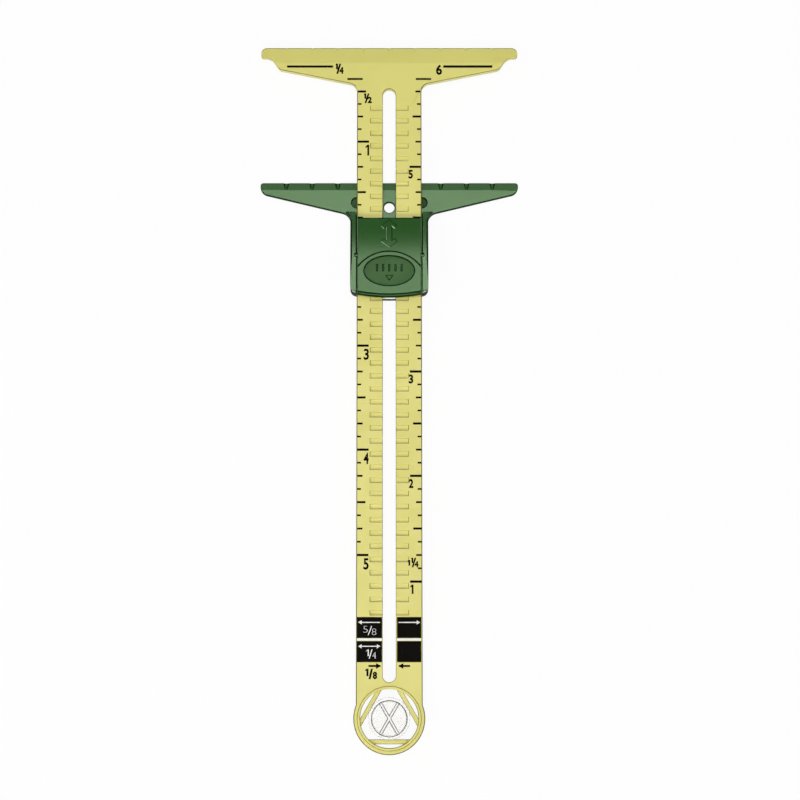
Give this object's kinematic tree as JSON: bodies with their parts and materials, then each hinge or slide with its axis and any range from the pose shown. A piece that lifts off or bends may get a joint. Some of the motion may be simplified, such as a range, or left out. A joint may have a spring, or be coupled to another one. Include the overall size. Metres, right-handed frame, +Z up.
{
  "type": "sliding sewing gauge",
  "caption": "Slotted T-shaped measuring bar with a T slider, a rocking lock lever over an eighth-inch rack, and a turning anchor button in an end ring.",
  "frame": {"origin": "middle of the gauge's outline, on the plane it lies on", "axes": "+X across the gauge, +Y along the bar towards its T head, +Z up through the printed face"},
  "size_m": [0.0636, 0.173, 0.006],
  "materials": {
    "yellow_plastic": "moulded, satin gloss",
    "green_plastic": "moulded, satin gloss",
    "clear_plastic": "clear moulded plastic"
  },
  "bodies": {
    "bar": {"bar_head": "yellow_plastic", "left_leg": "yellow_plastic", "right_leg": "yellow_plastic", "ring_end": "yellow_plastic"},
    "slider": {"slider_plate": "green_plastic", "left_rail": "green_plastic", "right_rail": "green_plastic"},
    "lever": {"lock_lever": "green_plastic", "lever_spring": "green_plastic"},
    "anchor": {"anchor_button": "clear_plastic"}
  },
  "joints": [
    {"name": "slider_slide", "type": "slide", "parent": "bar", "child": "slider", "axis": [0, -1, 0], "range_m": [-0.02857, 0.09525]},
    {"name": "lever_rock", "type": "hinge", "parent": "slider", "child": "lever", "pos_m": [0, 0.03365, 0.0045], "axis": [1, 0, 0], "range_deg": [-2.3, 2.5], "stiffness_Nm_per_rad": 0.02, "springref_deg": -5.73, "deforming": ["lever_spring"]},
    {"name": "anchor_turn", "type": "hinge", "parent": "bar", "child": "anchor", "pos_m": [0, -0.07795, 0], "axis": [0, 0, 1], "continuous": true}
  ]
}
